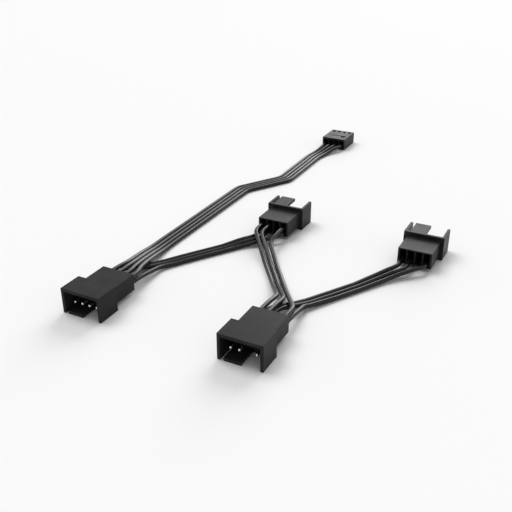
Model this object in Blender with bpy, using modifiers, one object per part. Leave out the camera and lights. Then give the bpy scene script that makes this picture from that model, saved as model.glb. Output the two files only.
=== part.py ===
"""Fan splitter cable: one female plug, four male sockets in a chain, and the wires between them.

Row axes: X runs along the row of terminals, Y along the direction in which plugs mate, Z up.
The cable lies on z = 0, and the origin is under the middle of the five housings.
"""
import math

import bmesh
import bpy
from mathutils import Matrix, Vector

# Terminal grid, in metres
pitch = 0.00254
position_count = 4

# Clearances
metal_clearance = 0.0003
wire_clearance = 0.0003
crimp_clearance = 0.0003
cutter_overrun = 0.0005

# Wire
wire_diameter = 0.00145
ribbon_pitch = 0.00168
layer_step = 0.00185
bend_reach = 0.0020
straight_exit = 0.0016
point_spacing = 0.0040
long_run = 0.018
long_spacing = 0.012
bend_step = 12.0
resting_gap = 0.00005

# Male housing, measured from the mouth towards the wires
shroud_width = 0.0134
shroud_height = 0.0080
shroud_length = 0.0079
shroud_side_wall = 0.0009
shroud_face_wall = 0.0010
shroud_back_wall = 0.0010
tongue_slot_width = 0.0010
tongue_width = 0.0051
body_width = 0.0110
body_tongue_step = 0.0014
body_wall_step = 0.0012
body_floor = 0.00045
male_length = 0.0178
male_cavity_start = 0.0090
housing_bevel = 0.00022

# Pin terminal
pin_side = 0.00064
pin_tip_depth = 0.00205
pin_height = 0.0031
pin_chamfer = 0.00012
lock_width = 0.0013
lock_length = 0.0024
web_thickness = 0.0005
crimp_radius = 0.00055
crimp_length = 0.0021

# Female housing, measured from the wires towards the mating face
plug_width = 0.0108
plug_height = 0.0050
plug_length = 0.01265
plug_floor = 0.0009
plug_roof = 0.0009
plug_front_wall = 0.0010
plug_entry_side = 0.0013
window_width = 0.0012
window_length = 0.0019
window_from_front = 0.0020
recess_depth = 0.00012
recess_start = 0.0031
recess_length = 0.0020
recess_left = -0.0033
recess_width = 0.0074
pocket_depth = 0.00055
pocket_width = 0.0021
pocket_inset = 0.0001

# Socket terminal
socket_height = 0.0022
socket_width = 0.0014
socket_tall = 0.0018
socket_bore = 0.0009
socket_length = 0.0050
tang_width = 0.0006
tang_length = 0.0008
tang_rise = 0.0006
neck_height = 0.0008
neck_overlap = 0.0004
socket_back_wall = 0.0007

# Places of the housings: A and C stand with the full wall up, B and D lie turned over
place_a = Vector((-0.0377, -0.0905, 0.0))
place_b = Vector((-0.01225, -0.0015, 0.0))
place_c = Vector((0.01275, -0.0902, 0.0))
place_d = Vector((0.0377, -0.0020, 0.0))
place_plug = Vector((-0.0282, 0.07785, 0.0))

# How deep each wire ends inside its housing, measured from the rear face
wire_end_depth = 0.0029

# Derived sizes
cavity_width = wire_diameter + 2 * wire_clearance
cavity_low = body_tongue_step + body_floor
cavity_high = shroud_height - body_wall_step - body_floor
wire_radius = wire_diameter / 2
lying_height = wire_radius + resting_gap
upright_low_layer = cavity_low + wire_clearance + wire_radius
upright_high_layer = upright_low_layer + layer_step
turned_low_layer = shroud_height - cavity_high + wire_clearance + wire_radius
turned_high_layer = turned_low_layer + layer_step
passage_side = pin_side + 2 * metal_clearance

# Wires in use at each position: B, C and D carry no speed signal
all_positions = (1, 2, 3, 4)
power_positions = (1, 2, 4)

# Finishes
plastic_colour = (0.022, 0.022, 0.023)
wire_colour = (0.014, 0.014, 0.015)
tin_colour = (0.78, 0.77, 0.74)


def clear_scene():
    for old in list(bpy.data.objects):
        bpy.data.objects.remove(old, do_unlink=True)


def add_collection(name):
    collection = bpy.data.collections.new(name)
    bpy.context.scene.collection.children.link(collection)
    return collection


def add_material(name, colour, roughness, metallic):
    material = bpy.data.materials.new(name)
    material.use_nodes = True
    shader = material.node_tree.nodes["Principled BSDF"]
    shader.inputs["Base Color"].default_value = (*colour, 1.0)
    shader.inputs["Roughness"].default_value = roughness
    shader.inputs["Metallic"].default_value = metallic
    material.diffuse_color = (*colour, 1.0)
    return material


def add_frame(name, location, turned):
    """Add the empty that carries one connector's pieces."""
    frame = bpy.data.objects.new(name, None)
    frame.empty_display_size = 0.004
    frame.location = location
    if turned:
        frame.location.z = location.z + shroud_height
        frame.rotation_euler.x = math.pi
    parts.objects.link(frame)
    return frame


def add_mesh_object(name, mesh, frame, collection):
    item = bpy.data.objects.new(name, mesh)
    item.parent = frame
    collection.objects.link(item)
    return item


def add_box(name, low, high, frame, collection):
    """Add a box between two corners given in its connector's own axes."""
    low = Vector(low)
    high = Vector(high)
    size = high - low
    mesh = bpy.data.meshes.new(name)
    shape = bmesh.new()
    bmesh.ops.create_cube(shape, size=1.0, matrix=Matrix.Diagonal((*size, 1.0)))
    shape.to_mesh(mesh)
    shape.free()
    item = add_mesh_object(name, mesh, frame, collection)
    item.location = (low + high) / 2
    return item


def add_barrel(name, start, length, radius, frame, collection):
    """Add a round barrel that runs along the mating direction."""
    mesh = bpy.data.meshes.new(name)
    shape = bmesh.new()
    bmesh.ops.create_cone(
        shape,
        cap_ends=True,
        segments=16,
        radius1=radius,
        radius2=radius,
        depth=length,
        matrix=Matrix.Rotation(math.radians(90), 4, "X"),
    )
    shape.to_mesh(mesh)
    shape.free()
    item = add_mesh_object(name, mesh, frame, collection)
    item.location = Vector(start) + Vector((0.0, length / 2, 0.0))
    return item


def bevel_edges(item, width, segments):
    bevel = item.modifiers.new("edge_round", "BEVEL")
    bevel.width = width
    bevel.segments = segments
    bevel.limit_method = "ANGLE"
    bevel.angle_limit = math.radians(40)


def combine(item, tool, operation):
    """Join or cut with a tool object, which stays hidden beside the part."""
    tool.hide_render = True
    tool.display_type = "WIRE"
    change = item.modifiers.new(tool.name, "BOOLEAN")
    change.operation = operation
    change.solver = "EXACT"
    change.object = tool


def finish(item, material):
    item.data.materials.append(material)


def position_x(position):
    """Give the sideways place of a terminal, seen from the connector's middle."""
    return (position - (position_count + 1) / 2) * pitch


def make_male_housing(letter, frame):
    name = "housing_" + letter
    half_shroud = shroud_width / 2
    mouth_depth = shroud_length - shroud_back_wall
    mouth_half = half_shroud - shroud_side_wall
    tongue_left = -mouth_half + tongue_slot_width
    tongue_right = tongue_left + tongue_width

    housing = add_box(
        name,
        (-half_shroud, 0.0, 0.0),
        (half_shroud, shroud_length, shroud_height),
        frame,
        parts,
    )
    bevel_edges(housing, housing_bevel, 2)

    # The slimmer body behind the shroud, rounded along its edges too
    body = add_box(
        name + "_body",
        (-body_width / 2, shroud_length - shroud_back_wall / 2, body_tongue_step),
        (body_width / 2, male_length, shroud_height - body_wall_step),
        frame,
        cutters,
    )
    bevel_edges(body, housing_bevel, 2)
    combine(housing, body, "UNION")

    mouth = add_box(
        name + "_mouth",
        (-mouth_half, -cutter_overrun, shroud_face_wall),
        (mouth_half, mouth_depth, shroud_height - shroud_face_wall),
        frame,
        cutters,
    )
    combine(housing, mouth, "DIFFERENCE")

    # Two openings leave the tongue standing between them
    slot = add_box(
        name + "_slot",
        (-mouth_half, -cutter_overrun, -cutter_overrun),
        (tongue_left, mouth_depth, shroud_face_wall + cutter_overrun),
        frame,
        cutters,
    )
    combine(housing, slot, "DIFFERENCE")
    gap = add_box(
        name + "_gap",
        (tongue_right, -cutter_overrun, -cutter_overrun),
        (mouth_half, mouth_depth, shroud_face_wall + cutter_overrun),
        frame,
        cutters,
    )
    combine(housing, gap, "DIFFERENCE")

    # A tall cavity for each terminal and a square passage for its pin
    passage_half = passage_side / 2
    for position in all_positions:
        x = position_x(position)
        cavity = add_box(
            "%s_cavity_%d" % (name, position),
            (x - cavity_width / 2, male_cavity_start, cavity_low),
            (x + cavity_width / 2, male_length + cutter_overrun, cavity_high),
            frame,
            cutters,
        )
        combine(housing, cavity, "DIFFERENCE")
        passage = add_box(
            "%s_passage_%d" % (name, position),
            (x - passage_half, mouth_depth - cutter_overrun, pin_height - passage_half),
            (x + passage_half, male_cavity_start + cutter_overrun, pin_height + passage_half),
            frame,
            cutters,
        )
        combine(housing, passage, "DIFFERENCE")

    finish(housing, add_material(name + "_plastic", plastic_colour, 0.38, 0.0))
    return housing


def make_pin_terminal(letter, position, layers, frame):
    """Add a pin, its locking box and one crimp for each wire that it joins."""
    name = "pin_%s%d" % (letter, position)
    x = position_x(position)
    crimp_end = male_length - wire_end_depth - crimp_clearance
    crimp_start = crimp_end - crimp_length
    lock_start = male_cavity_start + metal_clearance
    lock_end = lock_start + lock_length

    pin = add_box(
        name,
        (x - pin_side / 2, pin_tip_depth, pin_height - pin_side / 2),
        (x + pin_side / 2, lock_start + lock_length / 2, pin_height + pin_side / 2),
        frame,
        parts,
    )
    bevel_edges(pin, pin_chamfer, 1)

    lock = add_box(
        name + "_lock",
        (x - lock_width / 2, lock_start, pin_height - lock_width / 2),
        (x + lock_width / 2, lock_end, pin_height + lock_width / 2),
        frame,
        cutters,
    )
    combine(pin, lock, "UNION")

    web_low = min(pin_height, *layers) - web_thickness / 2
    web_high = max(pin_height, *layers) + web_thickness / 2
    web = add_box(
        name + "_web",
        (x - web_thickness / 2, lock_end - lock_length / 3, web_low),
        (x + web_thickness / 2, crimp_start + crimp_length / 4, web_high),
        frame,
        cutters,
    )
    combine(pin, web, "UNION")

    for index, height in enumerate(layers):
        crimp = add_barrel(
            "%s_crimp_%d" % (name, index + 1),
            (x, crimp_start, height),
            crimp_length,
            crimp_radius,
            frame,
            cutters,
        )
        combine(pin, crimp, "UNION")

    finish(pin, add_material(name + "_tin", tin_colour, 0.24, 1.0))
    return pin


def make_plug_housing(frame):
    name = "housing_plug"
    housing = add_box(
        name,
        (-plug_width / 2, 0.0, 0.0),
        (plug_width / 2, plug_length, plug_height),
        frame,
        parts,
    )
    bevel_edges(housing, housing_bevel, 2)

    # The shallow recess on top and the deeper pocket at its right end
    recess = add_box(
        name + "_recess",
        (recess_left, recess_start, plug_height - recess_depth),
        (recess_left + recess_width, recess_start + recess_length, plug_height + cutter_overrun),
        frame,
        cutters,
    )
    combine(housing, recess, "DIFFERENCE")
    recess_right = recess_left + recess_width
    recess_end = recess_start + recess_length
    pocket = add_box(
        name + "_pocket",
        (recess_right - pocket_width, recess_start + pocket_inset, plug_height - pocket_depth),
        (recess_right - pocket_inset, recess_end - pocket_inset, plug_height + cutter_overrun),
        frame,
        cutters,
    )
    combine(housing, pocket, "DIFFERENCE")

    cavity_end = plug_length - plug_front_wall
    window_middle = plug_length - window_from_front
    entry_half = plug_entry_side / 2
    for position in all_positions:
        x = position_x(position)
        cavity = add_box(
            "%s_cavity_%d" % (name, position),
            (x - cavity_width / 2, -cutter_overrun, plug_floor),
            (x + cavity_width / 2, cavity_end, plug_height - plug_roof),
            frame,
            cutters,
        )
        combine(housing, cavity, "DIFFERENCE")
        entry = add_box(
            "%s_entry_%d" % (name, position),
            (x - entry_half, cavity_end - cutter_overrun, socket_height - entry_half),
            (x + entry_half, plug_length + cutter_overrun, socket_height + entry_half),
            frame,
            cutters,
        )
        combine(housing, entry, "DIFFERENCE")
        window = add_box(
            "%s_window_%d" % (name, position),
            (x - window_width / 2, window_middle - window_length / 2, plug_height - plug_roof - cutter_overrun),
            (x + window_width / 2, window_middle + window_length / 2, plug_height + cutter_overrun),
            frame,
            cutters,
        )
        combine(housing, window, "DIFFERENCE")

    finish(housing, add_material(name + "_plastic", plastic_colour, 0.38, 0.0))
    return housing


def make_socket_terminal(position, frame):
    """Add a square socket with a locking tang, a neck and a crimp."""
    name = "socket_%d" % position
    x = position_x(position)
    socket_end = plug_length - plug_front_wall - metal_clearance
    socket_start = socket_end - socket_length
    crimp_start = wire_end_depth + crimp_clearance

    socket = add_box(
        name,
        (x - socket_width / 2, socket_start, socket_height - socket_tall / 2),
        (x + socket_width / 2, socket_end, socket_height + socket_tall / 2),
        frame,
        parts,
    )
    bevel_edges(socket, pin_chamfer, 1)

    # The tang rises under the housing's window
    tang_middle = plug_length - window_from_front
    tang = add_box(
        name + "_tang",
        (x - tang_width / 2, tang_middle - tang_length / 2, socket_height),
        (x + tang_width / 2, tang_middle + tang_length / 2, socket_height + socket_tall / 2 + tang_rise),
        frame,
        cutters,
    )
    combine(socket, tang, "UNION")
    neck = add_box(
        name + "_neck",
        (x - web_thickness / 2, crimp_start + crimp_length / 2, socket_height - neck_height / 2),
        (x + web_thickness / 2, socket_start + neck_overlap, socket_height + neck_height / 2),
        frame,
        cutters,
    )
    combine(socket, neck, "UNION")
    crimp = add_barrel(
        name + "_crimp",
        (x, crimp_start, socket_height),
        crimp_length,
        crimp_radius,
        frame,
        cutters,
    )
    combine(socket, crimp, "UNION")
    bore = add_box(
        name + "_bore",
        (x - socket_bore / 2, socket_start + socket_back_wall, socket_height - socket_bore / 2),
        (x + socket_bore / 2, socket_end + cutter_overrun, socket_height + socket_bore / 2),
        frame,
        cutters,
    )
    combine(socket, bore, "DIFFERENCE")

    finish(socket, add_material(name + "_tin", tin_colour, 0.24, 1.0))
    return socket


def straight_points(start, end):
    """Give the points of a straight run, without its last one; a long flat run needs few."""
    length = (end - start).length
    spacing = long_spacing if length > long_run else point_spacing
    steps = max(1, math.ceil(length / spacing))
    return [start.lerp(end, step / steps) for step in range(steps)]


def round_corners(corners):
    """Round each corner of a flat route and space its points for a tube."""
    corners = [Vector((x, y, 0.0)) for x, y in corners]
    points = []
    run_start = corners[0]
    for before, corner, after in zip(corners, corners[1:], corners[2:]):
        reach = min(bend_reach, (before - corner).length / 2.2, (after - corner).length / 2.2)
        arc_start = corner + (before - corner).normalized() * reach
        arc_end = corner + (after - corner).normalized() * reach
        turn = (corner - before).angle(after - corner)
        steps = max(1, math.ceil(math.degrees(turn) / bend_step))
        points += straight_points(run_start, arc_start)
        for step in range(steps):
            t = step / steps
            points.append(arc_start.lerp(corner, t).lerp(corner.lerp(arc_end, t), t))
        run_start = arc_end
    points += straight_points(run_start, corners[-1])
    points.append(corners[-1])
    return points


def fall(distance, drop):
    """Tell how much of its exit height a wire still has at a distance from its end."""
    t = (distance - wire_end_depth - straight_exit) / drop
    t = min(max(t, 0.0), 1.0)
    return (1 + math.cos(math.pi * t)) / 2


def lay_wire(corners, heights, drops):
    """Let a wire sink from both its exits to the surface that it lies on."""
    points = round_corners(corners)
    distances = [0.0]
    for before, after in zip(points, points[1:]):
        distances.append(distances[-1] + (after - before).length)
    length = distances[-1]
    start_height, end_height = heights
    start_drop, end_drop = drops
    for point, distance in zip(points, distances):
        start_rise = (start_height - lying_height) * fall(distance, start_drop)
        end_rise = (end_height - lying_height) * fall(length - distance, end_drop)
        point.z = lying_height + start_rise + end_rise
    return points


def make_wire(name, points):
    curve = bpy.data.curves.new(name, "CURVE")
    curve.dimensions = "3D"
    curve.bevel_depth = wire_radius
    curve.bevel_resolution = 2
    curve.use_fill_caps = True
    spline = curve.splines.new("POLY")
    spline.points.add(len(points) - 1)
    for target, point in zip(spline.points, points):
        target.co = (*point, 1.0)
    wire = bpy.data.objects.new(name, curve)
    parts.objects.link(wire)
    finish(wire, add_material(name + "_jacket", wire_colour, 0.34, 0.0))
    return wire


# Routes of the wires. Each one leaves straight, sinks to the surface, runs on it beside its
# neighbours as a flat ribbon, and rises into the next housing.
rear_a = place_a.y + male_length
rear_b = place_b.y - male_length
rear_c = place_c.y + male_length
rear_d = place_d.y - male_length

# The middle line of the lead ribbon, from A to the plug
lead_middle = (
    (-0.0389, -0.0626),
    (-0.0415, -0.0515),
    (-0.0422, -0.0430),
    (-0.0416, 0.0134),
    (-0.0311, 0.0310),
    (-0.0313, 0.0620),
    (-0.0293, 0.0710),
)
lead_plug_bend = 0.0757

# How far from each exit a wire has sunk to the surface
lead_drops = (0.030, 0.012)
link_ab_drops = (0.020, 0.018)
link_bc_drops = (0.024, 0.028)
link_cd_drops = (0.020, 0.020)

# The middle lines of the links while they run as ribbons, and where each wire bends at its ends
link_ab_middle = ((-0.0294, -0.0463), (-0.0192, -0.0305))
link_ab_start = ((0.0, -0.0631), (0.0, -0.0622), (0.0, -0.0571))
link_ab_end = ((0.0, -0.0257), (0.0, -0.0254), (0.0, -0.0225))
link_bc_middle = ((-0.0064, -0.0349), (0.0015, -0.0456))
link_bc_start = ((0.0, -0.0250), (0.0, -0.0259), (0.0, -0.0294))
link_bc_end = ((-0.0005, -0.0591), (-0.0005, -0.0599), (-0.0004, -0.0648))
link_cd_middle = ((0.0159, -0.0568), (0.0318, -0.0302))
link_cd_start = ((0.0, -0.0653), (0.0, -0.0642), (0.0, -0.0587))
link_cd_end = ((0.0, -0.0244), (0.0, -0.0252), (0.0, -0.0216))


def beside(corners, offset):
    """Move a ribbon's middle line sideways to one of its wires."""
    line = [Vector((x, y)) for x, y in corners]
    moved = []
    for index, point in enumerate(line):
        before = line[max(index - 1, 0)]
        after = line[min(index + 1, len(line) - 1)]
        along = (after - before).normalized()
        moved.append((point.x + along.y * offset, point.y - along.x * offset))
    return moved


def make_lead(position):
    offset = (position - (position_count + 1) / 2) * ribbon_pitch
    start_x = place_a.x + position_x(position)
    plug_x = place_plug.x + position_x(position)
    corners = [(start_x, rear_a - wire_end_depth), (start_x, rear_a + straight_exit + bend_reach)]
    corners += beside(lead_middle, offset)
    corners += [(plug_x, lead_plug_bend), (plug_x, place_plug.y + wire_end_depth)]
    points = lay_wire(corners, (upright_high_layer, socket_height), lead_drops)
    make_wire("lead_%d" % position, points)


def make_link(name, ends, insides, bends, middle, heights, drops):
    """Add the three wires between two male housings."""
    start, end = ends
    start_inside, end_inside = insides
    start_bends, end_bends = bends
    for index, position in enumerate(power_positions):
        start_x = start.x + position_x(position)
        end_x = end.x + position_x(position)
        offset = (index - 1) * ribbon_pitch
        if end.y < start.y:
            offset = -offset
        start_shift, start_y = start_bends[index]
        end_shift, end_y = end_bends[index]
        corners = [(start_x, start_inside), (start_x + start_shift, start_y)]
        corners += beside(middle, offset)
        corners += [(end_x + end_shift, end_y), (end_x, end_inside)]
        points = lay_wire(corners, heights, drops)
        make_wire("%s_%d" % (name, position), points)


clear_scene()
parts = add_collection("fan_splitter_cable")
cutters = add_collection("cutters")

frame_a = add_frame("connector_a", place_a, False)
frame_b = add_frame("connector_b", place_b, True)
frame_c = add_frame("connector_c", place_c, False)
frame_d = add_frame("connector_d", place_d, True)
frame_plug = add_frame("connector_plug", place_plug, False)

make_plug_housing(frame_plug)
for position in all_positions:
    make_socket_terminal(position, frame_plug)

make_male_housing("a", frame_a)
make_male_housing("b", frame_b)
make_male_housing("c", frame_c)
make_male_housing("d", frame_d)

# Crimp heights in each housing's own axes, which point down in a turned one
turned_low = shroud_height - turned_low_layer
turned_high = shroud_height - turned_high_layer
for position in all_positions:
    layers_a = (upright_high_layer,)
    if position in power_positions:
        layers_a = (upright_low_layer, upright_high_layer)
    make_pin_terminal("a", position, layers_a, frame_a)
for position in power_positions:
    make_pin_terminal("b", position, (turned_low, turned_high), frame_b)
    make_pin_terminal("c", position, (upright_low_layer, upright_high_layer), frame_c)
    make_pin_terminal("d", position, (turned_low,), frame_d)

for position in all_positions:
    make_lead(position)
make_link(
    "link_ab",
    (place_a, place_b),
    (rear_a - wire_end_depth, rear_b + wire_end_depth),
    (link_ab_start, link_ab_end),
    link_ab_middle,
    (upright_low_layer, turned_low_layer),
    link_ab_drops,
)
make_link(
    "link_bc",
    (place_b, place_c),
    (rear_b + wire_end_depth, rear_c - wire_end_depth),
    (link_bc_start, link_bc_end),
    link_bc_middle,
    (turned_high_layer, upright_high_layer),
    link_bc_drops,
)
make_link(
    "link_cd",
    (place_c, place_d),
    (rear_c - wire_end_depth, rear_d + wire_end_depth),
    (link_cd_start, link_cd_end),
    link_cd_middle,
    (upright_low_layer, turned_low_layer),
    link_cd_drops,
)
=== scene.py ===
import math

import bmesh
import bpy
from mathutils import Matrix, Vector


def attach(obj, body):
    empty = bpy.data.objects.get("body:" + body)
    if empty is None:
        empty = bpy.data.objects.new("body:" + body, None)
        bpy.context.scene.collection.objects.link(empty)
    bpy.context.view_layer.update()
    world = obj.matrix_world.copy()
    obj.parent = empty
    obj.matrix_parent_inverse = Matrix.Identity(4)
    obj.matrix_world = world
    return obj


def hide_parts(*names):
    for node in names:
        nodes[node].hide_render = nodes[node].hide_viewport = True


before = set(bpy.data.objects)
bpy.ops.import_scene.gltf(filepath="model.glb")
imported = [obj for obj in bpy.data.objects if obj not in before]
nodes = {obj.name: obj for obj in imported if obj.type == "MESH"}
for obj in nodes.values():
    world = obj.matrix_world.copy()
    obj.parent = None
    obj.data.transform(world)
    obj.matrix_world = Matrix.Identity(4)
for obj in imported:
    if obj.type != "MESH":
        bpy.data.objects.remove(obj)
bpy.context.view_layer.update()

scene = bpy.context.scene
print("frame loaded:", len(nodes), "nodes")


# Camera at the photograph's viewing angle
cameraSet = {
    "place": (0.0836, -0.21986, 0.10865),
    "target": (-0.0111, -0.0344, 0.0),
    "lens": 50.0,
    "sensorWidth": 36.0,
    "clipStart": 0.001,
}
cameraData = bpy.data.cameras.new("camera")
cameraData.lens = cameraSet["lens"]
cameraData.sensor_width = cameraSet["sensorWidth"]
cameraData.clip_start = cameraSet["clipStart"]
camera = bpy.data.objects.new("camera", cameraData)
scene.collection.objects.link(camera)
camera.location = cameraSet["place"]
aim = Vector(cameraSet["target"]) - Vector(cameraSet["place"])
camera.rotation_euler = aim.to_track_quat("-Z", "Y").to_euler()
scene.camera = camera
scene.view_settings.view_transform = "Standard"
print("camera placed")


# Small tools for selecting and shaping. The angles are in degrees
shapingSet = {
    "facing": 0.9,
    "cornerAngle": 60.0,
    "edgeSegments": 4,
    "edgeProfile": 0.5,
    "cutSegments": 2,
    "smoothAngle": 35.0,
}


def pick(piece):
    bpy.ops.object.select_all(action="DESELECT")
    piece.select_set(True)
    bpy.context.view_layer.objects.active = piece


def addBlock(name, low, high):
    size = [b - a for a, b in zip(low, high)]
    middle = [(a + b) / 2 for a, b in zip(low, high)]
    bpy.ops.object.select_all(action="DESELECT")
    bpy.ops.mesh.primitive_cube_add(size=1.0, location=middle, scale=size)
    block = bpy.context.active_object
    block.name = name
    bpy.ops.object.transform_apply(location=True, rotation=True, scale=True)
    return block


def selectFaces(piece, test):
    bpy.ops.mesh.select_mode(type="FACE")
    bpy.ops.mesh.select_all(action="DESELECT")
    shape = bmesh.from_edit_mesh(piece.data)
    for face in shape.faces:
        if test(face):
            face.select_set(True)
    bmesh.update_edit_mesh(piece.data)


def selectEdges(piece, test):
    bpy.ops.mesh.select_mode(type="EDGE")
    bpy.ops.mesh.select_all(action="DESELECT")
    shape = bmesh.from_edit_mesh(piece.data)
    for edge in shape.edges:
        if test(edge):
            edge.select_set(True)
    bmesh.update_edit_mesh(piece.data)


def facesBack(face):
    return face.normal.y > shapingSet["facing"]


def roundOutside(piece, radius):
    cornerAngle = math.radians(shapingSet["cornerAngle"])
    selectEdges(piece, lambda edge: edge.is_convex and edge.calc_face_angle() > cornerAngle)
    bpy.ops.mesh.bevel(
        offset=radius,
        segments=shapingSet["edgeSegments"],
        profile=shapingSet["edgeProfile"],
        affect="EDGES",
    )


def cutAway(piece, cutter):
    pick(piece)
    cut = piece.modifiers.new("cut", "BOOLEAN")
    cut.operation = "DIFFERENCE"
    cut.solver = "EXACT"
    cut.object = cutter
    bpy.ops.object.modifier_apply(modifier=cut.name)
    bpy.data.objects.remove(cutter, do_unlink=True)


def softenCuts(piece, width):
    pick(piece)
    soften = piece.modifiers.new("soften", "BEVEL")
    soften.width = width
    soften.segments = shapingSet["cutSegments"]
    soften.limit_method = "ANGLE"
    soften.angle_limit = math.radians(shapingSet["cornerAngle"])
    bpy.ops.object.modifier_apply(modifier=soften.name)


def smoothFaces(piece):
    pick(piece)
    bpy.ops.object.shade_smooth_by_angle(angle=math.radians(shapingSet["smoothAngle"]))
    flats = piece.modifiers.new("flats", "WEIGHTED_NORMAL")
    flats.keep_sharp = True
    bpy.ops.object.modifier_apply(modifier=flats.name)


def copyTo(source, name, place, turned):
    piece = source.copy()
    piece.data = source.data.copy()
    piece.name = name
    piece.data.name = name
    scene.collection.objects.link(piece)
    piece.location = place
    if turned:
        piece.rotation_euler.x = math.pi
    pick(piece)
    bpy.ops.object.transform_apply(location=True, rotation=True, scale=True)
    return piece


# Small tools for materials. Most of a noise's values lie between low and high
noiseSet = {"low": 0.3, "high": 0.7, "cloudDetail": 3.0, "fineDetail": 2.0}


def startMaterial(name):
    material = bpy.data.materials.new(name)
    material.use_nodes = True
    return material, material.node_tree.nodes["Principled BSDF"]


def addNoise(material, scale, detail, stretch=None):
    tree = material.node_tree
    coordinates = tree.nodes.new("ShaderNodeTexCoord")
    noise = tree.nodes.new("ShaderNodeTexNoise")
    noise.inputs["Scale"].default_value = scale
    noise.inputs["Detail"].default_value = detail
    source = coordinates.outputs["Object"]
    if stretch:
        mapping = tree.nodes.new("ShaderNodeMapping")
        mapping.inputs["Scale"].default_value = stretch
        tree.links.new(source, mapping.inputs["Vector"])
        source = mapping.outputs["Vector"]
    tree.links.new(source, noise.inputs["Vector"])
    return noise.outputs["Fac"]


def spread(material, factor, socket, low, high):
    tree = material.node_tree
    spreader = tree.nodes.new("ShaderNodeMapRange")
    spreader.inputs["From Min"].default_value = noiseSet["low"]
    spreader.inputs["From Max"].default_value = noiseSet["high"]
    spreader.inputs["To Min"].default_value = low
    spreader.inputs["To Max"].default_value = high
    tree.links.new(factor, spreader.inputs["Value"])
    tree.links.new(spreader.outputs["Result"], socket)


def shade(material, factor, socket, dark, light):
    tree = material.node_tree
    ramp = tree.nodes.new("ShaderNodeValToRGB")
    ramp.color_ramp.elements[0].position = noiseSet["low"]
    ramp.color_ramp.elements[0].color = (*dark, 1.0)
    ramp.color_ramp.elements[1].position = noiseSet["high"]
    ramp.color_ramp.elements[1].color = (*light, 1.0)
    tree.links.new(factor, ramp.inputs["Fac"])
    tree.links.new(ramp.outputs["Color"], socket)


def grain(material, factor, socket, strength, depth):
    tree = material.node_tree
    bump = tree.nodes.new("ShaderNodeBump")
    bump.inputs["Strength"].default_value = strength
    bump.inputs["Distance"].default_value = depth
    tree.links.new(factor, bump.inputs["Height"])
    tree.links.new(bump.outputs["Normal"], socket)


def makePlastic(name, values):
    material, shader = startMaterial(name)
    cloud = addNoise(material, values["cloudScale"], noiseSet["cloudDetail"])
    fine = addNoise(material, values["grainScale"], noiseSet["fineDetail"])
    shade(material, cloud, shader.inputs["Base Color"], values["dark"], values["light"])
    spread(material, cloud, shader.inputs["Roughness"], *values["roughness"])
    grain(material, fine, shader.inputs["Normal"], values["grainStrength"], values["grainDepth"])
    shader.inputs["Specular IOR Level"].default_value = values["specular"]
    return material


# Satin black nylon of the housings, with the fine grain that the mould leaves
nylonSet = {
    "dark": (0.016, 0.016, 0.0165),
    "light": (0.027, 0.027, 0.0275),
    "roughness": (0.36, 0.44),
    "specular": 0.07,
    "grainScale": 9000.0,
    "grainStrength": 0.30,
    "grainDepth": 0.00003,
    "cloudScale": 240.0,
}
blackNylon = makePlastic("blackNylon", nylonSet)

# Soft black jacket of the wires, smoother than the housings
jacketSet = {
    "dark": (0.003, 0.003, 0.0035),
    "light": (0.008, 0.008, 0.0085),
    "roughness": (0.22, 0.28),
    "specular": 0.26,
    "grainScale": 6000.0,
    "grainStrength": 0.03,
    "grainDepth": 0.00003,
    "cloudScale": 420.0,
}
blackJacket = makePlastic("blackJacket", jacketSet)

# Bright tin plating of the terminals, drawn out along the pins. The rear ends of the pins, inside
# the cavities, carry painted shade:
# each row of pins fades from bright tin at the first y of its pair to a near-black painted shade
# at the second
tinSet = {
    "dark": (0.74, 0.73, 0.70),
    "light": (0.90, 0.89, 0.86),
    "roughness": (0.18, 0.32),
    "grainScale": 5200.0,
    "grainStrength": 0.10,
    "grainDepth": 0.00002,
    "cloudScale": 1400.0,
    "stretch": (1.0, 0.18, 1.0),
    # near-black painted shade for the pins' rear ends, where the cavities are in shade
    "paintedShade": (0.05, 0.048, 0.045),
    "frontRowShadeFade": (-0.0835, -0.0815),
    "backRowShadeFade": (-0.0085, -0.0105),
}


# Paints shade on a pin material: mixes its base colour towards a near-black painted shade along y
def paintShadeAlong(material, socket, shadeFadeEnds, colour):
    tree = material.node_tree
    coordinates = tree.nodes.new("ShaderNodeTexCoord")
    split = tree.nodes.new("ShaderNodeSeparateXYZ")
    fade = tree.nodes.new("ShaderNodeMapRange")
    fade.inputs["From Min"].default_value = shadeFadeEnds[0]
    fade.inputs["From Max"].default_value = shadeFadeEnds[1]
    mixer = tree.nodes.new("ShaderNodeMixRGB")
    mixer.inputs["Color2"].default_value = (*colour, 1.0)
    tree.links.new(coordinates.outputs["Object"], split.inputs["Vector"])
    tree.links.new(split.outputs["Y"], fade.inputs["Value"])
    tree.links.new(fade.outputs["Result"], mixer.inputs["Fac"])
    tree.links.new(socket.links[0].from_socket, mixer.inputs["Color1"])
    tree.links.new(mixer.outputs["Color"], socket)


def makeTin(name, shadeFadeEnds=None):
    material, shader = startMaterial(name)
    cloud = addNoise(material, tinSet["cloudScale"], noiseSet["cloudDetail"])
    drawn = addNoise(material, tinSet["grainScale"], noiseSet["fineDetail"], tinSet["stretch"])
    shade(material, cloud, shader.inputs["Base Color"], tinSet["dark"], tinSet["light"])
    spread(material, drawn, shader.inputs["Roughness"], *tinSet["roughness"])
    grain(material, drawn, shader.inputs["Normal"], tinSet["grainStrength"], tinSet["grainDepth"])
    shader.inputs["Metallic"].default_value = 1.0
    if shadeFadeEnds:
        paintShadeAlong(material, shader.inputs["Base Color"], shadeFadeEnds, tinSet["paintedShade"])
    return material


brightTin = makeTin("brightTin")
# pin platings with painted shade on their rear ends, inside the cavities
frontPinTinShaded = makeTin("frontPinTinShaded", tinSet["frontRowShadeFade"])
backPinTinShaded = makeTin("backPinTinShaded", tinSet["backRowShadeFade"])
print("materials made")


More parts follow.
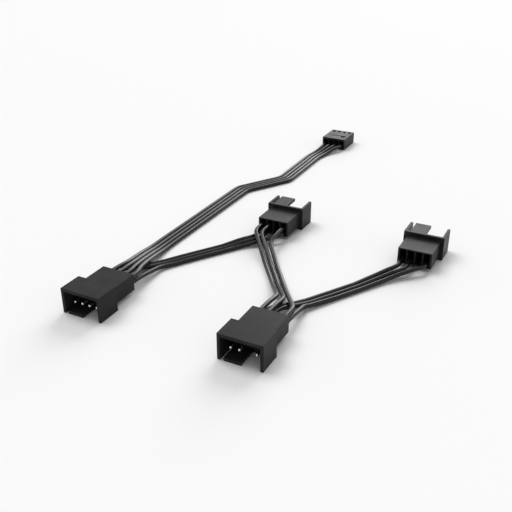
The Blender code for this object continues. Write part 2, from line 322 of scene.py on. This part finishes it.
# Terminal grid, and the middle of each connector's front edge or, for the plug, of its wire side
gridSet = {"pitch": 0.00254, "places": 4}
gridMiddle = (gridSet["places"] + 1) / 2
allPlaces = (1, 2, 3, 4)
linkPlaces = (1, 2, 4)
placeA = Vector((-0.0377, -0.0905, 0.0))
placeB = Vector((-0.01225, -0.0015, 0.0))
placeC = Vector((0.01275, -0.0902, 0.0))
placeD = Vector((0.0377, -0.0020, 0.0))
placePlug = Vector((-0.0282, 0.07785, 0.0))


def terminalX(place):
    return (place - gridMiddle) * gridSet["pitch"]


# Wires: each leaves its housing straight, sinks to the floor, runs in a flat ribbon, rises again
wireSet = {
    "diameter": 0.00145,
    "ribbonPitch": 0.00168,
    "layerStep": 0.00185,
    "bendReach": 0.0020,
    "runPerBend": 2.2,
    "straightExit": 0.0016,
    "pointSpacing": 0.0040,
    "longRun": 0.018,
    "longSpacing": 0.012,
    "bendStep": 12.0,
    "roundness": 6,
    "restingGap": 0.00005,
    "endDepth": 0.0029,
    "cavityFloor": 0.00185,
    "turnedFloor": 0.00165,
    "clearance": 0.0003,
    "plugHeight": 0.0022,
    "housingLength": 0.0178,
}
wireRadius = wireSet["diameter"] / 2
lyingHeight = wireRadius + wireSet["restingGap"]
uprightLow = wireSet["cavityFloor"] + wireSet["clearance"] + wireRadius
uprightHigh = uprightLow + wireSet["layerStep"]
turnedLow = wireSet["turnedFloor"] + wireSet["clearance"] + wireRadius
turnedHigh = turnedLow + wireSet["layerStep"]
rearA = placeA.y + wireSet["housingLength"]
rearB = placeB.y - wireSet["housingLength"]
rearC = placeC.y + wireSet["housingLength"]
rearD = placeD.y - wireSet["housingLength"]

leadSet = {
    "middle": (
        (-0.0389, -0.0626),
        (-0.0415, -0.0515),
        (-0.0422, -0.0430),
        (-0.0416, 0.0134),
        (-0.0311, 0.0310),
        (-0.0313, 0.0620),
        (-0.0293, 0.0710),
    ),
    "plugBend": 0.0757,
    "drops": (0.030, 0.012),
    "length": 0.160,
}
linkAbSet = {
    "name": "link_ab",
    "ends": (placeA, placeB),
    "rears": (rearA, rearB),
    "startBends": ((0.0, -0.0631), (0.0, -0.0622), (0.0, -0.0571)),
    "middle": ((-0.0294, -0.0463), (-0.0192, -0.0305)),
    "endBends": ((0.0, -0.0257), (0.0, -0.0254), (0.0, -0.0225)),
    "heights": (uprightLow, turnedLow),
    "drops": (0.020, 0.018),
    "length": 0.0675,
}
linkBcSet = {
    "name": "link_bc",
    "ends": (placeB, placeC),
    "rears": (rearB, rearC),
    "startBends": ((0.0, -0.0250), (0.0, -0.0259), (0.0, -0.0294)),
    "middle": ((-0.0064, -0.0349), (0.0015, -0.0456)),
    "endBends": ((-0.0005, -0.0591), (-0.0005, -0.0599), (-0.0004, -0.0648)),
    "heights": (turnedHigh, uprightHigh),
    "drops": (0.024, 0.028),
    "length": 0.0675,
}
linkCdSet = {
    "name": "link_cd",
    "ends": (placeC, placeD),
    "rears": (rearC, rearD),
    "startBends": ((0.0, -0.0653), (0.0, -0.0642), (0.0, -0.0587)),
    "middle": ((0.0159, -0.0568), (0.0318, -0.0302)),
    "endBends": ((0.0, -0.0244), (0.0, -0.0252), (0.0, -0.0216)),
    "heights": (uprightLow, turnedLow),
    "drops": (0.020, 0.020),
    "length": 0.066,
}


def straightPoints(start, end):
    length = (end - start).length
    spacing = wireSet["longSpacing"] if length > wireSet["longRun"] else wireSet["pointSpacing"]
    steps = max(1, math.ceil(length / spacing))
    return [start.lerp(end, step / steps) for step in range(steps)]


def roundCorners(corners):
    corners = [Vector((x, y, 0.0)) for x, y in corners]
    points = []
    runStart = corners[0]
    for before, corner, after in zip(corners, corners[1:], corners[2:]):
        shorter = min((before - corner).length, (after - corner).length)
        reach = min(wireSet["bendReach"], shorter / wireSet["runPerBend"])
        arcStart = corner + (before - corner).normalized() * reach
        arcEnd = corner + (after - corner).normalized() * reach
        turn = (corner - before).angle(after - corner)
        steps = max(1, math.ceil(math.degrees(turn) / wireSet["bendStep"]))
        points += straightPoints(runStart, arcStart)
        for step in range(steps):
            t = step / steps
            points.append(arcStart.lerp(corner, t).lerp(corner.lerp(arcEnd, t), t))
        runStart = arcEnd
    points += straightPoints(runStart, corners[-1])
    points.append(corners[-1])
    return points


def fall(distance, drop):
    t = (distance - wireSet["endDepth"] - wireSet["straightExit"]) / drop
    t = min(max(t, 0.0), 1.0)
    return (1 + math.cos(math.pi * t)) / 2


def layWire(corners, heights, drops):
    points = roundCorners(corners)
    distances = [0.0]
    for before, after in zip(points, points[1:]):
        distances.append(distances[-1] + (after - before).length)
    for point, distance in zip(points, distances):
        startRise = (heights[0] - lyingHeight) * fall(distance, drops[0])
        endRise = (heights[1] - lyingHeight) * fall(distances[-1] - distance, drops[1])
        point.z = lyingHeight + startRise + endRise
    return points


def beside(corners, offset):
    line = [Vector((x, y)) for x, y in corners]
    moved = []
    for index, point in enumerate(line):
        before = line[max(index - 1, 0)]
        after = line[min(index + 1, len(line) - 1)]
        along = (after - before).normalized()
        moved.append((point.x + along.y * offset, point.y - along.x * offset))
    return moved


def makeWire(nodeName, points):
    curve = bpy.data.curves.new(nodeName + "_jacket", "CURVE")
    curve.dimensions = "3D"
    curve.bevel_depth = wireRadius
    curve.bevel_resolution = wireSet["roundness"]
    curve.use_fill_caps = True
    spline = curve.splines.new("POLY")
    spline.points.add(len(points) - 1)
    for target, point in zip(spline.points, points):
        target.co = (*point, 1.0)
    spline.use_smooth = True
    wire = bpy.data.objects.new(nodeName + "_jacket", curve)
    scene.collection.objects.link(wire)
    curve.materials.append(blackJacket)
    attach(wire, "root")
    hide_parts(nodeName)


def makeLead(place):
    offset = (place - gridMiddle) * wireSet["ribbonPitch"]
    startX = placeA.x + terminalX(place)
    plugX = placePlug.x + terminalX(place)
    corners = [
        (startX, rearA - wireSet["endDepth"]),
        (startX, rearA + wireSet["straightExit"] + wireSet["bendReach"]),
    ]
    corners += beside(leadSet["middle"], offset)
    corners += [(plugX, leadSet["plugBend"]), (plugX, placePlug.y + wireSet["endDepth"])]
    points = layWire(corners, (uprightHigh, wireSet["plugHeight"]), leadSet["drops"])
    makeWire("lead_%d" % place, points)


def makeLink(linkSet):
    start, end = linkSet["ends"]
    forward = 1.0 if end.y > start.y else -1.0
    startInside = linkSet["rears"][0] - forward * wireSet["endDepth"]
    endInside = linkSet["rears"][1] + forward * wireSet["endDepth"]
    for index, place in enumerate(linkPlaces):
        startX = start.x + terminalX(place)
        endX = end.x + terminalX(place)
        startShift, startY = linkSet["startBends"][index]
        endShift, endY = linkSet["endBends"][index]
        corners = [(startX, startInside), (startX + startShift, startY)]
        corners += beside(linkSet["middle"], (index - 1) * wireSet["ribbonPitch"] * forward)
        corners += [(endX + endShift, endY), (endX, endInside)]
        points = layWire(corners, linkSet["heights"], linkSet["drops"])
        nodeName = "%s_%d" % (linkSet["name"], place)
        makeWire(nodeName, points)


for place in allPlaces:
    makeLead(place)
for linkSet in (linkAbSet, linkBcSet, linkCdSet):
    makeLink(linkSet)
print("wires laid")


# Male housing, modelled once: mouth at y = 0, wires behind, tongue side down
maleSet = {
    "shroudWidth": 0.0134,
    "shroudLength": 0.0079,
    "shroudHeight": 0.0080,
    "sideWall": 0.0009,
    "faceWall": 0.0010,
    "backWall": 0.0010,
    "bodyStep": 0.0012,
    "tongueStep": 0.0014,
    "length": 0.0178,
    "slotWidth": 0.0010,
    "tongueWidth": 0.0051,
    "cavityWidth": 0.00205,
    "cavityLow": 0.00185,
    "cavityHigh": 0.00635,
    "cavityStart": 0.0090,
    "pinHeight": 0.0031,
    "pinHole": 0.0010,
    "edgeRadius": 0.00010,
    "cutRadius": 0.00006,
    "overrun": 0.0006,
    "near": 0.0001,
    "cornerZone": 0.0006,
    "middleZone": 0.0005,
    "middleHeights": (0.002, 0.006),
}


def modelMaleHousing():
    s = maleSet
    half = s["shroudWidth"] / 2
    housing = addBlock(
        "maleHousing", (-half, 0.0, 0.0), (half, s["shroudLength"], s["shroudHeight"])
    )

    def onLowerStep(vertex):
        return (
            vertex.co.y > s["shroudLength"] - s["near"]
            and abs(vertex.co.z - s["bodyStep"]) < s["near"]
            and abs(vertex.co.x) < half - s["cornerZone"]
        )

    def isRearMiddle(face):
        centre = face.calc_center_median()
        low, high = s["middleHeights"]
        return facesBack(face) and abs(centre.x) < s["middleZone"] and low < centre.z < high

    # The slimmer body grows out of the shroud's rear face
    bpy.ops.object.mode_set(mode="EDIT")
    selectFaces(housing, facesBack)
    bpy.ops.mesh.inset(thickness=s["bodyStep"], depth=0.0)
    selectEdges(housing, lambda edge: all(onLowerStep(vertex) for vertex in edge.verts))
    bpy.ops.transform.translate(value=(0.0, 0.0, s["tongueStep"] - s["bodyStep"]))
    selectFaces(housing, isRearMiddle)
    bodyLength = s["length"] - s["shroudLength"]
    bpy.ops.mesh.extrude_region_move(TRANSFORM_OT_translate={"value": (0.0, bodyLength, 0.0)})
    roundOutside(housing, s["edgeRadius"])
    bpy.ops.object.mode_set(mode="OBJECT")

    # The mouth, and two openings that leave the tongue standing
    mouthHalf = half - s["sideWall"]
    mouthDepth = s["shroudLength"] - s["backWall"]
    tongueLeft = -mouthHalf + s["slotWidth"]
    tongueRight = tongueLeft + s["tongueWidth"]
    over = s["overrun"]
    cutAway(housing, addBlock(
        "mouthCut",
        (-mouthHalf, -over, s["faceWall"]),
        (mouthHalf, mouthDepth, s["shroudHeight"] - s["faceWall"]),
    ))
    cutAway(housing, addBlock(
        "slotCut", (-mouthHalf, -over, -over), (tongueLeft, mouthDepth, s["faceWall"] + over)
    ))
    cutAway(housing, addBlock(
        "gapCut", (tongueRight, -over, -over), (mouthHalf, mouthDepth, s["faceWall"] + over)
    ))

    # A cavity for each terminal and a square hole for its pin
    for place in allPlaces:
        x = terminalX(place)
        cutAway(housing, addBlock(
            "cavityCut",
            (x - s["cavityWidth"] / 2, s["cavityStart"], s["cavityLow"]),
            (x + s["cavityWidth"] / 2, s["length"] + over, s["cavityHigh"]),
        ))
        cutAway(housing, addBlock(
            "pinCut",
            (x - s["pinHole"] / 2, mouthDepth - over, s["pinHeight"] - s["pinHole"] / 2),
            (x + s["pinHole"] / 2, s["cavityStart"] + over, s["pinHeight"] + s["pinHole"] / 2),
        ))
    softenCuts(housing, s["cutRadius"])
    return housing


# A turned housing is rotated by half a turn about x, so its origin moves up by its height
def placeHousing(source, name, place, turned=False):
    raised = Vector(place)
    if turned:
        raised.z += maleSet["shroudHeight"]
    housing = copyTo(source, "housing_%s_shell" % name, raised, turned)
    housing.data.materials.clear()
    housing.data.materials.append(blackNylon)
    smoothFaces(housing)
    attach(housing, "root")
    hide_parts("housing_" + name)


maleHousing = modelMaleHousing()
placeHousing(maleHousing, "a", placeA)
placeHousing(maleHousing, "b", placeB, turned=True)
placeHousing(maleHousing, "c", placeC)
placeHousing(maleHousing, "d", placeD, turned=True)
bpy.data.objects.remove(maleHousing, do_unlink=True)
print("male housings modelled")


# Female plug: wires at y = 0, mating face in front
plugSet = {
    "width": 0.0108,
    "height": 0.0050,
    "length": 0.01265,
    "floor": 0.0009,
    "roof": 0.0009,
    "frontWall": 0.0010,
    "cavityWidth": 0.00205,
    "entrySide": 0.0013,
    "entryFlare": 1.5,
    "entryHeight": 0.0022,
    "entryOverrun": 0.0001,
    "funnelShare": 0.5,
    "windowWidth": 0.0012,
    "windowLength": 0.0019,
    "windowFromFront": 0.0020,
    "recess": ((-0.0033, 0.0031), (0.0041, 0.0051)),
    "recessDepth": 0.00012,
    "pocket": ((0.0020, 0.0032), (0.0040, 0.0050)),
    "pocketDepth": 0.00042,
    "edgeRadius": 0.00014,
    "cutRadius": 0.00006,
    "overrun": 0.0006,
}


def modelPlug():
    s = plugSet
    half = s["width"] / 2
    over = s["overrun"]
    plug = addBlock("plugHousing", (-half, 0.0, 0.0), (half, s["length"], s["height"]))
    bpy.ops.object.mode_set(mode="EDIT")
    roundOutside(plug, s["edgeRadius"])
    bpy.ops.object.mode_set(mode="OBJECT")

    # The shallow recess on top, and the deeper pocket at its right end
    for area, depth in ((s["recess"], s["recessDepth"]), (s["pocket"], s["pocketDepth"])):
        cutAway(plug, addBlock(
            "topCut", (*area[0], s["height"] - depth), (*area[1], s["height"] + over)
        ))

    cavityEnd = s["length"] - s["frontWall"]
    windowMiddle = s["length"] - s["windowFromFront"]
    windowStart = windowMiddle - s["windowLength"] / 2
    windowEnd = windowMiddle + s["windowLength"] / 2
    entry = s["entrySide"] / 2
    funnelStart = s["length"] - s["frontWall"] * s["funnelShare"]
    for place in allPlaces:
        x = terminalX(place)
        cutAway(plug, addBlock(
            "cavityCut",
            (x - s["cavityWidth"] / 2, -over, s["floor"]),
            (x + s["cavityWidth"] / 2, cavityEnd, s["height"] - s["roof"]),
        ))
        cutAway(plug, addBlock(
            "windowCut",
            (x - s["windowWidth"] / 2, windowStart, s["height"] - s["roof"] - over),
            (x + s["windowWidth"] / 2, windowEnd, s["height"] + over),
        ))

        # The square entry opens out like a funnel towards the header's pin
        funnel = addBlock(
            "entryCut",
            (x - entry, cavityEnd - over, s["entryHeight"] - entry),
            (x + entry, s["length"] + s["entryOverrun"], s["entryHeight"] + entry),
        )
        bpy.ops.object.mode_set(mode="EDIT")
        bpy.ops.mesh.select_mode(type="FACE")
        bpy.ops.mesh.select_all(action="SELECT")
        bpy.ops.mesh.bisect(plane_co=(x, funnelStart, s["entryHeight"]), plane_no=(0.0, 1.0, 0.0))
        selectFaces(funnel, facesBack)
        bpy.ops.transform.resize(value=(s["entryFlare"], 1.0, s["entryFlare"]))
        bpy.ops.object.mode_set(mode="OBJECT")
        cutAway(plug, funnel)
    softenCuts(plug, s["cutRadius"])
    return plug


plugHousing = modelPlug()
placeHousing(plugHousing, "plug", placePlug)
bpy.data.objects.remove(plugHousing, do_unlink=True)
print("plug modelled")


# Terminals keep their CAD shape and get their plating
# the pins' platings carry painted shade at their rear ends, inside the cavities
platings = {
    "socket_": brightTin,
    "pin_a": frontPinTinShaded,
    "pin_b": backPinTinShaded,
    "pin_c": frontPinTinShaded,
    "pin_d": backPinTinShaded,
}
for name, node in nodes.items():
    for start, plating in platings.items():
        if name.startswith(start):
            node.data.materials.clear()
            node.data.materials.append(plating)
print("terminals plated")


# Pale floor
floorSet = {
    "size": 6.0,
    "height": 0.0,
    "colour": (0.95, 0.95, 0.95),
    "roughness": 0.9,
    "specular": 0.1,
}
bpy.ops.object.select_all(action="DESELECT")
bpy.ops.mesh.primitive_plane_add(size=floorSet["size"], location=(0.0, 0.0, floorSet["height"]))
floor = bpy.context.active_object
floor.name = "floor"
paper, paperShader = startMaterial("palePaper")
paperShader.inputs["Base Color"].default_value = (*floorSet["colour"], 1.0)
paperShader.inputs["Roughness"].default_value = floorSet["roughness"]
paperShader.inputs["Specular IOR Level"].default_value = floorSet["specular"]
floor.data.materials.append(paper)

# Soft light: a wide key from the upper left, a wide light behind, a pale surround. Camera,
# glossy and transmission rays meet a brighter surround than the one that lights the part
lightSet = {
    "key": {"from": (-0.50, 0.12, 0.87), "strength": 1.25, "width": 36.0},
    "back": {"from": (-0.07, 0.89, 0.44), "strength": 1.7, "width": 42.0},
    "surround": 0.42,
    "seenSurround": 1.0,
    "white": (1.0, 1.0, 1.0, 1.0),
}


def addSun(name, values):
    sunData = bpy.data.lights.new(name, "SUN")
    sunData.energy = values["strength"]
    sunData.angle = math.radians(values["width"])
    sun = bpy.data.objects.new(name, sunData)
    sun.rotation_euler = (-Vector(values["from"])).to_track_quat("-Z", "Y").to_euler()
    scene.collection.objects.link(sun)


addSun("keyLight", lightSet["key"])
addSun("backLight", lightSet["back"])

world = bpy.data.worlds.new("surround")
world.use_nodes = True
scene.world = world
sky = world.node_tree
lit = sky.nodes["Background"]
lit.inputs["Color"].default_value = lightSet["white"]
lit.inputs["Strength"].default_value = lightSet["surround"]
seen = sky.nodes.new("ShaderNodeBackground")
seen.inputs["Color"].default_value = lightSet["white"]
seen.inputs["Strength"].default_value = lightSet["seenSurround"]
rays = sky.nodes.new("ShaderNodeLightPath")
cameraOrGlossy = sky.nodes.new("ShaderNodeMath")
cameraOrGlossy.operation = "MAXIMUM"
anySight = sky.nodes.new("ShaderNodeMath")
anySight.operation = "MAXIMUM"
surroundChooser = sky.nodes.new("ShaderNodeMixShader")
sky.links.new(rays.outputs["Is Camera Ray"], cameraOrGlossy.inputs[0])
sky.links.new(rays.outputs["Is Glossy Ray"], cameraOrGlossy.inputs[1])
sky.links.new(cameraOrGlossy.outputs["Value"], anySight.inputs[0])
sky.links.new(rays.outputs["Is Transmission Ray"], anySight.inputs[1])
sky.links.new(anySight.outputs["Value"], surroundChooser.inputs["Fac"])
sky.links.new(lit.outputs["Background"], surroundChooser.inputs[1])
sky.links.new(seen.outputs["Background"], surroundChooser.inputs[2])
sky.links.new(surroundChooser.outputs["Shader"], sky.nodes["World Output"].inputs["Surface"])
print("floor and light set")

bpy.ops.object.select_all(action="DESELECT")
